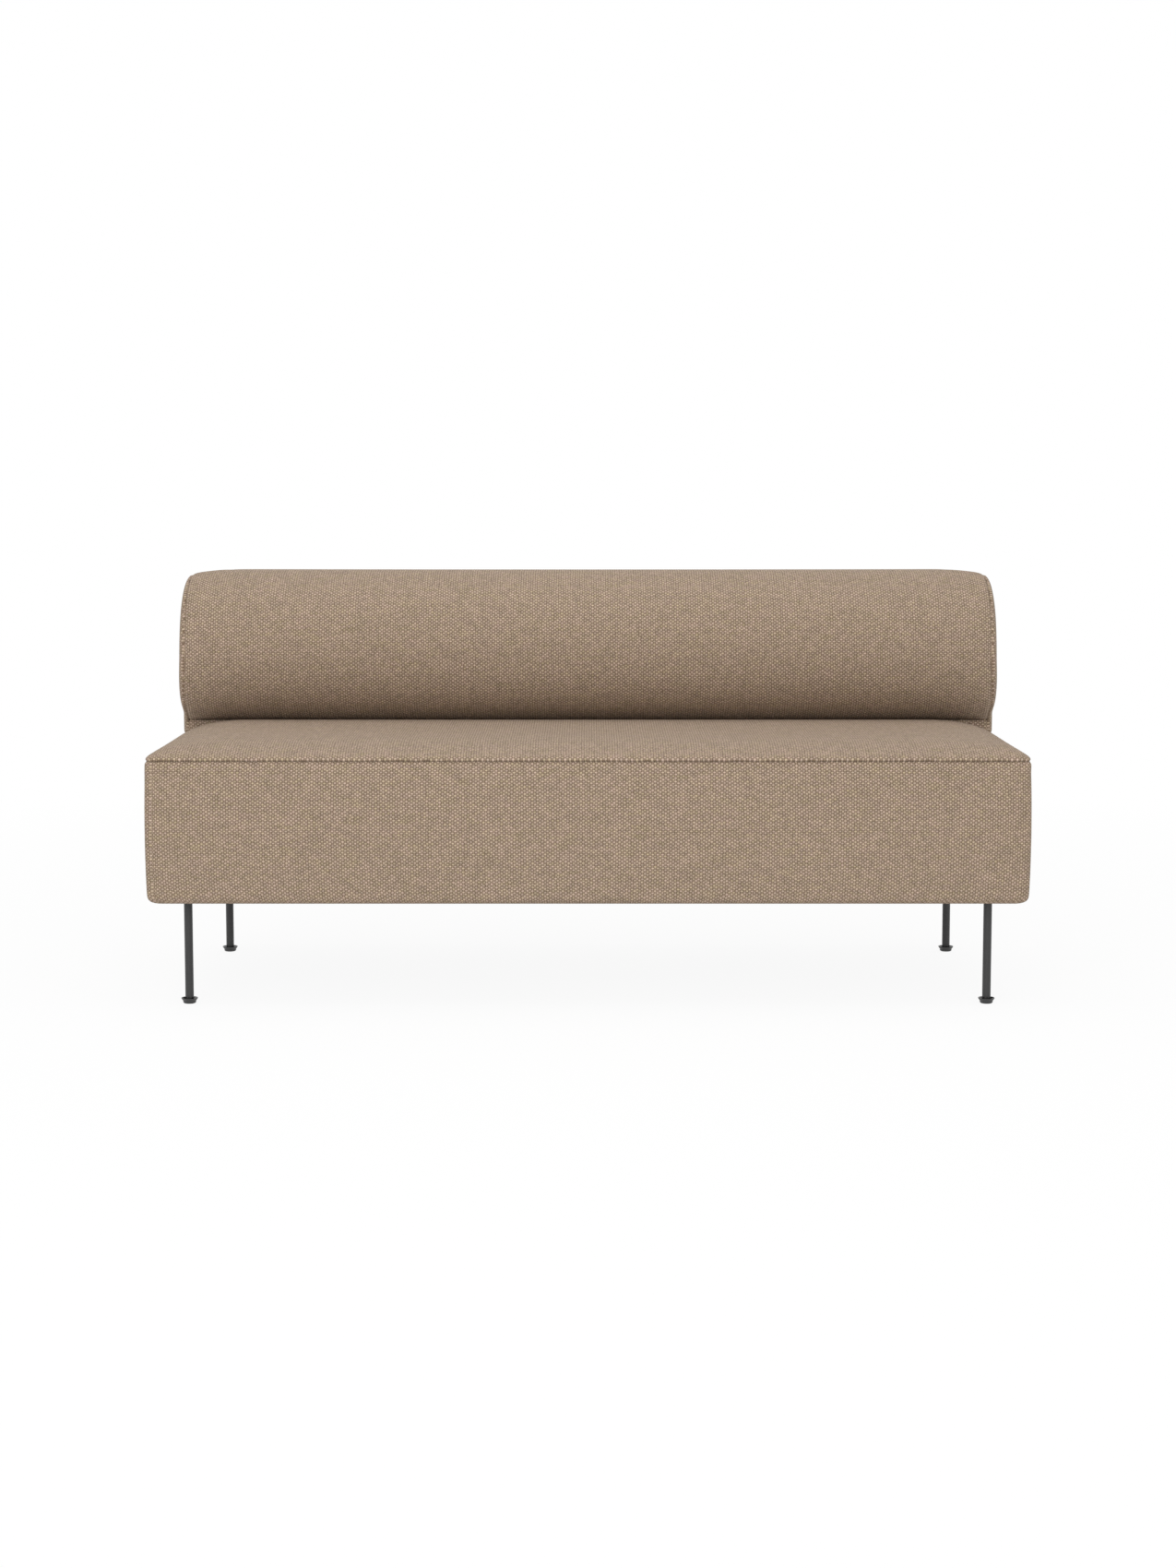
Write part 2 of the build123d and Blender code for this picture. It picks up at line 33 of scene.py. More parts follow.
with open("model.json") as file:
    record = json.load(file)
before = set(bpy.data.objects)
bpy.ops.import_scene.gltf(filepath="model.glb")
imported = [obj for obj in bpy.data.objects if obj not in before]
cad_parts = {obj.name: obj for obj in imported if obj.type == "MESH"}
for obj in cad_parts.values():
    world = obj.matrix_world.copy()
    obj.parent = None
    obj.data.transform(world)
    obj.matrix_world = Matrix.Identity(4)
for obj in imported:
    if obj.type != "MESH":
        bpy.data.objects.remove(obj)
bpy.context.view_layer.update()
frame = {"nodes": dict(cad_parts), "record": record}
nodes = frame["nodes"]
scene = bpy.context.scene

# Seat form, read from the frame where the frame has it
band_low, band_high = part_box("seat_cover_band")
top_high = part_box("seat_cover_top")[1]
half_width = band_high[0]
half_depth = band_high[1]
underside = band_low[2]
seam_height = band_high[2]
crown = top_high[2] - seam_height
seam_draw = half_width - top_high[0]
hem_draw = 0.0032
bulge_share = 0.51
base_radius = 0.015
corner_radius = 0.013
crown_roll = 0.130
crown_corner_share = 0.5
crown_corner_end = 0.300
lift = 0.0037
lift_start = -0.150
lift_end = 0.115
press_depth = 0.0030
press_width = 0.055
neck_lines = [-0.010, -0.005, -0.002, 0.001, 0.004, 0.007, 0.010]
dip_start = 0.002
dip_width = 0.010
dip_gap = 0.0004
turn_points = 7
hem_width = 0.045
cloth_thickness = 0.002
core_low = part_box("seat_foam")[0][2]
core_draw = 0.0085
core_shoulder = 0.004

# Backrest form, in its end view
wrap_low, wrap_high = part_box("back_cover_front")
back_base = wrap_low[2]
back_half = wrap_high[0]
back_puff = 0.0085
back_seam_height = wrap_high[2] - back_puff
rear_puff = 0.003
back_rear = wrap_high[1] - rear_puff
back_roll = 0.060
crease_gap = 0.001
neck_top = seam_height + crown + crease_gap
back_rise = back_seam_height - neck_top
neck_depth = 0.591 * back_rise
neck = back_rear - neck_depth
curl_radius = 0.3646 * back_rise
curl_y = neck + 0.0759 * back_rise
belly_height = neck_top + 0.3918 * back_rise
under_angle = 247.0
front_radius = 0.8247 * back_rise
tuck_depth = 0.012
tuck_width = 0.0028
neck_rows = 5
tuck_rows = 3
front_angle = 23.0
rear_top_radius = 0.0687 * back_rise
under_points = 7
curl_points = 11
front_points = 14
shoulder_points = 20
top_points = 8
rear_points = 9
base_points = 22
widen_share = 0.0063
widen_high = 0.640
widen_low = 0.510
cap_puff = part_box("back_cover_end_right")[1][0] - back_half
cap_roll = 0.4976 * curl_radius
cap_step = 0.006
cap_rings = 12

# Seams: how far the cloth is pulled in, and how it swells beside them
seam_pull = 0.0030
seam_reach = 0.0026
swell = 0.0016
band_swell = 0.0002
swell_start = 0.003
swell_reach = 0.022
seam_runs = [0.0, 0.0008, 0.0016, 0.0026, 0.0040, 0.0060, 0.0090, 0.0130, 0.0180, 0.0250]
cloth_step = 0.014
band_step = 0.018

# Swelling by simulation, and how far a point of each cloth may move
cloth_quality = 4
cloth_mass = 0.3
cloth_pressure = 4.0
cloth_frames = 20
cushion_reach = 0.0006
band_reach = 0.0010
back_reach = 0.0020

# Weave: one nub and its gap along the weft, and two rows of nubs
weave_width = 0.00953
weave_height = 0.00665
weave_drift = 55.0
drift_along = 0.0030
drift_down = 0.0020
nub_jitter = 0.12
nub_width_share = 0.29
nub_height_share = 0.27
warp_width_share = 0.34
warp_height_share = 0.60
warp_level = 0.45
fibre_level = 0.70

# Stitches and staples
stitch_length = 0.0034
stitch_spacing = 0.0048
stitch_arch = 0.0006
stitch_radius = 0.00035
stitch_stand = 0.0006
staple_width = 0.010
staple_spacing = 0.042
staple_arch = 0.0009
staple_radius = 0.0005
staple_turn = 0.45
staple_jitter = 0.12
staple_inset = 0.007
staple_clear = 0.012
staple_points = 12

# Dust cover
dust_step = 0.020
dust_lift = 0.0003
dust_sag = 0.004
hang_slope = 2.2
hang_start = 0.25
dust_thickness = 0.0004
plate_gap = 0.0004

# Camera and its film
camera_lens = 61.35
film_width = 36.0
camera_pitch = 6.24
camera_distance = 4.9236
camera_height = 0.9639

# Floor: the share of white that the camera sees near the sofa, and where it has all turned white
floor_white_share = 0.92
floor_near = 1.2
floor_far = 3.5
floor_reach = 14.0

# Light: the sky, and each lamp's place, aim, width, depth and power
white = (1.0, 1.0, 1.0, 1.0)
sky_strength = 0.67
overhead_lamp = ((0.0, -0.6, 3.4), (0.0, 0.0, 0.4), 4.5, 3.0, 36.0)
front_lamp = ((-0.6, -4.5, 2.4), (0.0, 0.0, 0.5), 3.5, 2.5, 76.0)


# Numbers along a line

def spread(low, high, step):
    """Evenly spaced numbers from low to high, both kept."""
    count = max(1, int(round((high - low) / step)))
    return list(np.linspace(low, high, count + 1))


def from_both_ends(length):
    """Places along a length, close together beside the seam at each end."""
    near = seam_runs
    middle = spread(near[-1], length - near[-1], cloth_step)[1:-1]
    return np.array(near + middle + [length - run for run in reversed(near)])


def from_seam(length):
    """Places along a length that has a seam at its start only."""
    return np.array(seam_runs + spread(seam_runs[-1], length, cloth_step)[1:])


def seam_offset(distance, height=swell):
    """How far cloth stands out from its plain form, at a distance from a seam."""
    pulled = seam_pull * np.exp(-(distance / seam_reach) ** 2)
    swollen = height * (1 - np.exp(-distance / swell_start)) * np.exp(-(distance / swell_reach) ** 2)
    return swollen - pulled


class Roll:
    """A quarter ellipse that cloth follows from a seam: inwards by its width, out by its rise."""

    def __init__(self, width, rise):
        angle = np.linspace(0.0, math.pi / 2, 721)
        self.width = width
        self.inset = width * (1 - np.cos(angle))
        self.rise = rise * np.sin(angle)
        lean_in = width * np.sin(angle)
        lean_out = rise * np.cos(angle)
        slope = np.hypot(lean_in, lean_out)
        steps = np.hypot(np.diff(self.inset), np.diff(self.rise))
        self.run = np.concatenate([[0.0], np.cumsum(steps)])
        self.side_share = lean_out / slope
        self.up_share = lean_in / slope
        self.length = self.run[-1]

    def inset_at(self, run):
        return np.interp(run, self.run, self.inset) + np.maximum(run - self.length, 0.0)

    def run_at(self, inset):
        return np.interp(inset, self.inset, self.run) + np.maximum(inset - self.width, 0.0)

    def rise_at(self, run):
        return np.interp(run, self.run, self.rise)

    def normal_at(self, run):
        return np.interp(run, self.run, self.side_share), np.interp(run, self.run, self.up_share)

    def extra_at(self, run):
        """How much longer the cloth is than its plan, from here to the end of the roll."""
        left_in_plan = self.width - np.minimum(self.inset_at(run), self.width)
        return self.length - np.minimum(run, self.length) - left_in_plan


# Meshes

def placed(name, data):
    """An object in the scene for a mesh, a lamp or a camera."""
    made = bpy.data.objects.new(name, data)
    scene.collection.objects.link(made)
    return made


def piece_from(name, places, faces, cloth_places=None, face_loops=None):
    """A mesh piece. Its cloth places, in metres, go to its own UV map, face corner by face corner."""
    mesh = bpy.data.meshes.new(name)
    mesh.from_pydata([tuple(place) for place in places], [], [tuple(face) for face in faces])
    if cloth_places is not None:
        layer = mesh.uv_layers.new(name="weave")
        corners = [place for face in face_loops for place in face]
        flat = np.array([cloth_places[corner] for corner in corners], np.float32)
        layer.data.foreach_set("uv", flat.ravel())
    mesh.polygons.foreach_set("use_smooth", [True] * len(mesh.polygons))
    mesh.update()
    return placed(name, mesh)


class Panel:
    """A grid of points with the place in the flat cloth that each one comes from."""

    def __init__(self, points, cloth, closed=False):
        self.points = np.array(points, float)
        self.cloth = np.array(cloth, float)
        self.rows, self.columns = self.points.shape[:2]
        self.closed = closed

    def faces(self, flip=False):
        """Faces over the points, and the same faces over the cloth places."""
        found, loops = [], []
        wide = self.cloth.shape[1]
        last = self.columns if self.closed else self.columns - 1
        for row in range(self.rows - 1):
            for column in range(last):
                beside = (column + 1) % self.columns
                a, b = row * self.columns + column, row * self.columns + beside
                c, d = (row + 1) * self.columns + beside, (row + 1) * self.columns + column
                e, f = row * wide + column, row * wide + column + 1
                g, h = (row + 1) * wide + column + 1, (row + 1) * wide + column
                found.append((d, c, b, a) if flip else (a, b, c, d))
                loops.append((h, g, f, e) if flip else (e, f, g, h))
        return found, loops

    def piece(self, name, flip=False):
        faces, loops = self.faces(flip)
        return piece_from(name, self.points.reshape(-1, 3), faces, self.cloth.reshape(-1, 2), loops)

    def edges(self):
        """Numbers of the points on the grid's outer lines, which are sewn down."""
        held = set(range(self.columns))
        held |= set(range((self.rows - 1) * self.columns, self.rows * self.columns))
        if not self.closed:
            for row in range(self.rows):
                held |= {row * self.columns, row * self.columns + self.columns - 1}
        return held


def inflate(made, held, reach):
    """Cloth under pressure, sewn down at the held points. No point moves further than reach."""
    rest = np.array([vertex.co for vertex in made.data.vertices])
    group = made.vertex_groups.new(name="sewn")
    group.add(sorted(held), 1.0, "REPLACE")
    cloth = made.modifiers.new("swell", "CLOTH")
    cloth.settings.quality = cloth_quality
    cloth.settings.mass = cloth_mass
    cloth.settings.use_pressure = True
    cloth.settings.uniform_pressure_force = cloth_pressure
    cloth.settings.effector_weights.gravity = 0.0
    cloth.settings.vertex_group_mass = "sewn"
    cloth.collision_settings.use_collision = False
    cloth.point_cache.frame_start = 1
    cloth.point_cache.frame_end = cloth_frames
    for number in range(1, cloth_frames + 1):
        scene.frame_set(number)
    graph = bpy.context.evaluated_depsgraph_get()
    swollen = np.array([vertex.co for vertex in made.evaluated_get(graph).data.vertices])
    made.modifiers.remove(cloth)
    made.vertex_groups.clear()
    scene.frame_set(1)
    move = swollen - rest
    size = np.linalg.norm(move, axis=1, keepdims=True)
    move = move * np.minimum(1.0, reach / np.maximum(size, 1e-9))
    made.data.vertices.foreach_set("co", (rest + move).ravel())
    made.data.update()


def smooth(made):
    finer = made.modifiers.new("finer", "SUBSURF")
    finer.levels = 1
    finer.render_levels = 1


def thicken(made, thickness):
    wall = made.modifiers.new("cloth", "SOLIDIFY")
    wall.thickness = thickness
    wall.offset = -1.0


def sewn(made, held, reach):
    """A piece of cloth, swollen between its seams, made finer and given its thickness."""
    inflate(made, held, reach)
    smooth(made)
    thicken(made, cloth_thickness)
    return made


# Seat

crown_form = Roll(crown_roll, crown)


def crown_corner(inset):
    """Corner radius of the crown's outline at an inset, back to nothing near the middle line."""
    grown = corner_radius + crown_corner_share * np.minimum(inset, crown_roll)
    fade = (crown_corner_end - inset) / (crown_corner_end - crown_roll)
    return grown * np.clip(fade, 0.0, 1.0)


def outline_place(run_m, run_c):
    """Inset from the nearer edge and from the other one, and the share of the normal along each."""
    level = crown_form.inset_at(run_m)
    radius = crown_corner(level)
    reach = np.maximum(crown_form.run_at(level + radius) - run_m, 1e-9)
    share = np.clip((run_c - run_m) / reach, 0.0, 1.0)
    angle = math.pi / 4 * (1 - share)
    straight = run_c - run_m >= reach
    inset_c = np.where(straight, crown_form.inset_at(run_c), level + radius * (1 - np.sin(angle)))
    inset_m = np.where(straight, level, level + radius * (1 - np.cos(angle)))
    normal_c = np.where(straight, 0.0, np.sin(angle))
    normal_m = np.where(straight, 1.0, np.cos(angle))
    return inset_m, inset_c, normal_m, normal_c


def ease(share):
    """From nothing to one, level at both ends."""
    share = np.clip(share, 0.0, 1.0)
    return share * share * (3 - 2 * share)


def seat_top_panel():
    full_x = crown_form.length + half_width - seam_draw - crown_roll
    full_y = crown_form.length + half_depth - seam_draw - crown_roll
    run_x = from_both_ends(2 * full_x)
    near_neck = full_y + neck + np.array(neck_lines)
    run_y = np.unique(np.round(np.concatenate([from_both_ends(2 * full_y), near_neck]), 6))
    all_x, all_y = np.meshgrid(run_x, run_y)
    from_x = np.minimum(all_x, 2 * full_x - all_x)
    from_y = np.minimum(all_y, 2 * full_y - all_y)
    side_x = np.sign(all_x - full_x)
    side_y = np.sign(all_y - full_y)
    nearer = np.minimum(from_x, from_y)
    other = np.maximum(from_x, from_y)
    inset_m, inset_c, normal_m, normal_c = outline_place(nearer, other)
    x_near = from_x < from_y
    inset_x = np.where(x_near, inset_m, inset_c)
    inset_y = np.where(x_near, inset_c, inset_m)
    normal_x = np.where(x_near, normal_m, normal_c) * side_x
    normal_y = np.where(x_near, normal_c, normal_m) * side_y
    out_share, up_share = crown_form.normal_at(nearer)
    offset = seam_offset(nearer)
    x = side_x * (half_width - seam_draw - inset_x) + normal_x * out_share * offset
    y = side_y * (half_depth - seam_draw - inset_y) + normal_y * out_share * offset
    z = seam_height + crown_form.rise_at(nearer) + up_share * offset
    lifted = lift * ease((y - lift_start) / (lift_end - lift_start))
    lowered = (lift + press_depth) * ease((y - neck + press_width) / press_width)
    z = z + (lifted - lowered) * crown_form.rise_at(nearer) / crown
    under_back = ease((y - neck + dip_start) / dip_width)
    z = z * (1 - under_back) + np.minimum(z, back_base - dip_gap) * under_back
    extra = crown_form.extra_at(nearer)
    cloth = np.stack([x + normal_x * extra, y + normal_y * extra], axis=-1)
    return Panel(np.stack([x, y, z], axis=-1), cloth)


def border(panel):
    """Numbers of the grid's outer points, in order round it."""
    rows, columns = panel.rows, panel.columns
    front = list(range(columns))
    right = [row * columns + columns - 1 for row in range(1, rows)]
    rear = [(rows - 1) * columns + column for column in range(columns - 2, -1, -1)]
    left = [row * columns for row in range(rows - 2, 0, -1)]
    return front + right + rear + left


def seat_cushion():
    """The crowned top with the foam block's sides and base under it, as one closed pad."""
    panel = seat_top_panel()
    top = panel.piece("seat_cushion")
    inflate(top, panel.edges(), cushion_reach)
    places = [tuple(vertex.co) for vertex in top.data.vertices]
    faces, loops = panel.faces()
    cloth = panel.cloth.reshape(-1, 2).tolist()
    ring = border(panel)
    scale_x = 1 - core_draw / half_width
    scale_y = 1 - core_draw / half_depth
    below = []
    for number in ring:
        x, y, _ = places[number]
        below.append(len(places))
        places.append((x * scale_x, y * scale_y, seam_height - core_shoulder))
        cloth.append(cloth[number])
    base = len(places)
    for x, y, _ in places[:base - len(ring)]:
        places.append((x * scale_x, y * scale_y, core_low))
    cloth += cloth[:base - len(ring)]
    foot = [base + number for number in ring]
    for upper, lower in ((ring, below), (below, foot)):
        for here in range(len(ring)):
            beside = (here + 1) % len(ring)
            face = (upper[here], lower[here], lower[beside], upper[beside])
            faces.append(face)
            loops.append(face)
    for face in panel.faces(flip=True)[0]:
        face = tuple(base + number for number in face)
        faces.append(face)
        loops.append(face)
    bpy.data.objects.remove(top)
    made = piece_from("seat_cushion", places, faces, cloth, loops)
    smooth(made)
    return made


def side_draw(height):
    bulge = underside + bulge_share * (seam_height - underside)
    above = seam_draw * ((height - bulge) / (seam_height - bulge)) ** 2
    below = hem_draw * ((bulge - height) / (bulge - underside)) ** 2
    return np.where(height > bulge, above, below)


def band_profile():
    """Run down the cloth from the seam, with its draw, height and outward normal."""
    side = np.array([seam_height - run for run in from_seam(seam_height - underside - base_radius)])
    draws = list(side_draw(side))
    heights = list(side)
    turn_draw = float(side_draw(np.array([underside + base_radius]))[0])
    for angle in np.radians(np.linspace(0, 90, turn_points))[1:]:
        draws.append(turn_draw + base_radius * (1 - math.cos(angle)))
        heights.append(underside + base_radius * (1 - math.sin(angle)))
    hem_end = turn_draw + base_radius + hem_width
    for draw in spread(draws[-1], hem_end, cloth_step)[1:]:
        draws.append(draw)
        heights.append(underside)
    draws, heights = np.array(draws), np.array(heights)
    run = np.concatenate([[0.0], np.cumsum(np.hypot(np.diff(draws), np.diff(heights)))])
    slope_in, slope_up = np.gradient(draws), np.gradient(heights)
    size = np.hypot(slope_in, slope_up)
    return run, draws, heights, -slope_up / size, slope_in / size


def band_stations():
    """Places round the seat: which side, the share along its straight or its corner, and the run."""
    straight_x = 2 * (half_width - corner_radius)
    straight_y = 2 * (half_depth - corner_radius)
    quarter = math.pi / 2 * corner_radius
    stations, run, seams = [], 0.0, []
    for side, length in enumerate((straight_x, straight_y, straight_x, straight_y)):
        places = from_both_ends(length) if side == 2 else np.array(spread(0.0, length, band_step))
        for place in places:
            stations.append((side, place / length, 0.0, run + place))
        if side == 2:
            seams = [run, run + length]
        run += length
        for angle in np.linspace(0.0, 1.0, turn_points)[1:-1]:
            stations.append((side, 1.0, angle, run + angle * quarter))
        run += quarter
    return stations, run, seams


def band_place(side, share, turn, draw):
    """Plan of a station on the outline drawn in by draw, and its outward normal."""
    ways = ((1, 0), (0, 1), (-1, 0), (0, -1))
    outs = ((0, -1), (1, 0), (0, 1), (-1, 0))
    way, out = ways[side], outs[side]
    reach = (half_width if side % 2 == 0 else half_depth) - draw - corner_radius
    stand = (half_depth if side % 2 == 0 else half_width) - draw - corner_radius
    along = reach * (2 * share - 1)
    angle = turn * math.pi / 2
    normal = tuple(out[i] * math.cos(angle) + way[i] * math.sin(angle) for i in (0, 1))
    plan = tuple(way[i] * along + out[i] * stand + corner_radius * normal[i] for i in (0, 1))
    return plan, normal


def seat_band():
    run, draws, heights, out_share, up_share = band_profile()
    stations, around, seams = band_stations()
    points, cloth = [], []
    for row in range(len(run)):
        line, texture = [], []
        for side, share, turn, place in stations:
            plan, normal = band_place(side, share, turn, draws[row])
            distance = min([run[row]] + [abs(place - seam) for seam in seams])
            offset = float(seam_offset(distance, band_swell))
            level = heights[row] + up_share[row] * -offset
            shift = out_share[row] * offset
            line.append((plan[0] + normal[0] * shift, plan[1] + normal[1] * shift, level))
            texture.append((place, -run[row]))
        texture.append((around, -run[row]))
        points.append(line)
        cloth.append(texture)
    panel = Panel(points, cloth, closed=True)
    made = panel.piece("seat_band", flip=True)
    hem = int(np.argmax(heights <= underside + 1e-6))
    held = panel.edges() | set(range(hem * panel.columns, panel.rows * panel.columns))
    return sewn(made, held, band_reach)


# Backrest

def on_circle(centre, radius, degrees):
    angle = math.radians(degrees)
    return (centre[0] + radius * math.cos(angle), centre[1] + radius * math.sin(angle))


def arc_points(centre, radius, start, end, count):
    return [on_circle(centre, radius, degrees) for degrees in np.linspace(start, end, count)]


def line_points(start, end, count):
    return [tuple(point) for point in np.linspace(start, end, count)]


def wrap_section(grow, rear_grow):
    """End view from the neck's foot, up the front and over the top, to the rear seam."""
    curl_centre = (curl_y, belly_height)
    front_centre = (curl_y - curl_radius + front_radius, belly_height)
    hinge = on_circle(front_centre, front_radius, 180 - front_angle)
    shoulder_radius = (back_seam_height - hinge[1]) / (1 - math.sin(math.radians(front_angle)))
    shoulder_centre = on_circle(hinge, shoulder_radius, -front_angle)
    rear = back_rear + rear_grow
    top = back_seam_height + grow
    rear_centre = (rear - rear_top_radius, top - rear_top_radius)
    foot = neck - min(grow, 0.0)
    neck_level = neck_top - min(grow, 0.0)
    tuck = (foot + tuck_depth, neck_level - tuck_width / 2)
    fold = (foot, neck_level)
    under_start = on_circle(curl_centre, curl_radius + grow, under_angle)
    points = line_points((foot, back_base), (foot, neck_level - tuck_width), neck_rows)
    points += line_points(points[-1], tuck, tuck_rows + 1)[1:]
    points += line_points(tuck, fold, tuck_rows + 1)[1:]
    points += line_points(fold, under_start, under_points)[1:]
    points += arc_points(curl_centre, curl_radius + grow, under_angle, 180, curl_points)[1:]
    points += arc_points(front_centre, front_radius + grow, 180, 180 - front_angle, front_points)[1:]
    points += arc_points(shoulder_centre, shoulder_radius + grow, 180 - front_angle, 90,
                         shoulder_points)[1:]
    points += line_points((shoulder_centre[0], top), (rear_centre[0], top), top_points)[1:]
    points += arc_points(rear_centre, rear_top_radius, 90, 0, rear_points)[1:]
    return np.array(points)


def rear_section(grow, rear_grow):
    """End view of the back, from the rear seam down to the foot."""
    rear = back_rear + rear_grow
    start = back_seam_height + grow - rear_top_radius
    runs = from_seam(back_seam_height - rear_top_radius - back_base)
    shares = runs / runs[-1]
    return np.array([(rear, start + (back_base - start) * share) for share in shares])


def section_run(section):
    steps = np.hypot(*np.diff(section, axis=0).T)
    return np.concatenate([[0.0], np.cumsum(steps)])


def section_normals(section):
    """Outward normals of an end view that runs up the front and down the back."""
    slope = np.gradient(section, axis=0)
    size = np.hypot(slope[:, 0], slope[:, 1])
    return np.stack([-slope[:, 1], slope[:, 0]], axis=1) / size[:, None]


back_form = Roll(back_roll, back_puff)
cap_form = Roll(cap_roll, cap_puff)


def widened(places):
    """The backrest's cover, a little wider towards the seat than at its top."""
    places = np.array(places, float)
    share = ease((widen_high - places[..., 2]) / (widen_high - widen_low))
    places[..., 0] *= 1 + widen_share * share
    return places


def back_columns():
    """Runs along the backrest, with the place along X, the growth and the distance from a seam."""
    full = back_form.length + back_half - back_roll
    runs = from_both_ends(2 * full)
    near = np.minimum(runs, 2 * full - runs)
    side = np.sign(runs - full)
    x = side * (back_half - back_form.inset_at(near))
    share = back_form.rise_at(near) / back_puff
    out_share, up_share = back_form.normal_at(near)
    extra = back_form.extra_at(near)
    return x, share, near, side, extra


def back_panel_grid(section_at, row_seam):
    """Grid over the backrest's length. row_seam gives each row's distance from the rear seam."""
    x, share, near, side, extra = back_columns()
    middle = section_at(0.0, 0.0)
    runs = section_run(middle)
    rows = row_seam(runs)
    points = np.zeros((len(middle), len(x), 3))
    cloth = np.zeros((len(middle), len(x), 2))
    for column in range(len(x)):
        section = section_at(back_puff * share[column], rear_puff * share[column])
        normals = section_normals(section)
        offset = seam_offset(np.minimum(rows, near[column]))
        moved = section + normals * offset[:, None]
        points[:, column, 0] = x[column]
        points[:, column, 1] = moved[:, 0]
        points[:, column, 2] = moved[:, 1]
        cloth[:, column, 0] = x[column] + side[column] * extra[column]
        cloth[:, column, 1] = runs
    return Panel(widened(points), cloth)


def back_wrap():
    panel = back_panel_grid(wrap_section, lambda runs: runs[-1] - runs)
    made = panel.piece("back_wrap")
    tucked = (neck_rows + 2 * tuck_rows) * panel.columns
    return sewn(made, panel.edges() | set(range(tucked)), back_reach)


def back_rear_panel():
    panel = back_panel_grid(rear_section, lambda runs: runs)
    made = panel.piece("back_rear_panel")
    return sewn(made, panel.edges(), back_reach)


def back_outline(grow, rear_grow):
    """The whole end view of the backrest, round once."""
    wrap = wrap_section(grow, rear_grow)
    rear = rear_section(grow, rear_grow)
    base = np.array(line_points(tuple(rear[-1]), tuple(wrap[0]), base_points))
    return np.concatenate([wrap, rear[1:], base[1:-1]])


def outline_normals(outline):
    slope = np.roll(outline, -1, axis=0) - np.roll(outline, 1, axis=0)
    normal = np.stack([-slope[:, 1], slope[:, 0]], axis=1)
    return normal / np.linalg.norm(normal, axis=1, keepdims=True)


def back_end_panel(name, side):
    """Rounded end of the backrest, sewn on round its whole outline."""
    normal = outline_normals(back_outline(0.0, 0.0))
    centre = np.array([(neck + back_rear) / 2, (back_base + back_seam_height) / 2])
    runs = np.array(seam_runs + spread(seam_runs[-1], cap_form.length, cap_step)[1:])
    points, cloth = [], []
    for run in runs:
        inset = float(cap_form.inset_at(run))
        out_share, up_share = cap_form.normal_at(run)
        offset = float(seam_offset(run))
        ring = back_outline(-inset, -inset)
        ring[:, 1] = np.maximum(ring[:, 1], back_base)
        ring = ring + normal * (float(out_share) * offset)
        x = back_half + float(cap_form.rise_at(run)) + float(up_share) * offset
        points.append([(side * x, place[0], place[1]) for place in ring])
        stretched = ring + normal * float(cap_form.extra_at(run))
        cloth.append([tuple(place) for place in stretched])
    last = np.array(points[-1])
    middle = np.array([side * (back_half + cap_puff), centre[0], centre[1]])
    for share in np.linspace(1.0, 0.0, cap_rings)[1:-1]:
        ring = middle + (last - middle) * share
        points.append(ring)
        cloth.append([(place[1], place[2]) for place in ring])
    cloth = [row + [row[0]] for row in cloth]
    panel = Panel(widened(points), cloth, closed=True)
    faces, loops = panel.faces(flip=side < 0)
    places = panel.points.reshape(-1, 3).tolist()
    flat = panel.cloth.reshape(-1, 2).tolist()
    pole = len(places)
    places.append(tuple(widened(middle)))
    flat.append((middle[1], middle[2]))
    pole_flat = len(flat) - 1
    row = (panel.rows - 1) * panel.columns
    for column in range(panel.columns):
        beside = (column + 1) % panel.columns
        face = (row + column, row + beside, pole)
        wide = (panel.rows - 1) * (panel.columns + 1)
        loop = (wide + column, wide + column + 1, pole_flat)
        faces.append(tuple(reversed(face)) if side < 0 else face)
        loops.append(tuple(reversed(loop)) if side < 0 else loop)
    made = piece_from(name, places, faces, flat, loops)
    return sewn(made, set(range(panel.columns)), back_reach)


# Materials

class Reading:
    """One value in a material, so that sums on it are written as sums."""

    def __init__(self, finish, socket):
        self.finish = finish
        self.socket = socket

    def math(self, operation, *others):
        return self.finish.math(operation, self, *others)

    def __add__(self, other):
        return self.math("ADD", other)

    def __radd__(self, other):
        return self.finish.math("ADD", other, self)

    def __sub__(self, other):
        return self.math("SUBTRACT", other)

    def __rsub__(self, other):
        return self.finish.math("SUBTRACT", other, self)

    def __mul__(self, other):
        return self.math("MULTIPLY", other)

    def __rmul__(self, other):
        return self.finish.math("MULTIPLY", other, self)

    def __truediv__(self, other):
        return self.math("DIVIDE", other)


class NodeTree:
    """A tree of nodes, whose nodes all come from one method."""

    def __init__(self, tree):
        self.tree = tree
        self.nodes = tree.nodes
        self.links = tree.links

    def put(self, socket, value):
        if isinstance(value, Reading):
            self.links.new(value.socket, socket)
        else:
            socket.default_value = value

    def node(self, kind, settings=None, values=None, output=0):
        """A node with its settings made first, then its sockets."""
        made = self.nodes.new(kind)
        for name, value in (settings or {}).items():
            if name == "stops":
                ramp = made.color_ramp
                while len(ramp.elements) < len(value):
                    ramp.elements.new(0.5)
                for element, (place, colour) in zip(ramp.elements, value):
                    element.position = place
                    element.color = (*colour, 1.0)
            else:
                setattr(made, name, value)
        for name, value in (values or {}).items():
            self.put(made.inputs[name], value)
        return Reading(self, made.outputs[output])

    def math(self, operation, *values):
        settings = {"operation": operation}
        return self.node("ShaderNodeMath", settings, dict(enumerate(values)))

    def point(self, x, y, z=0.0):
        return self.node("ShaderNodeCombineXYZ", None, {0: x, 1: y, 2: z})


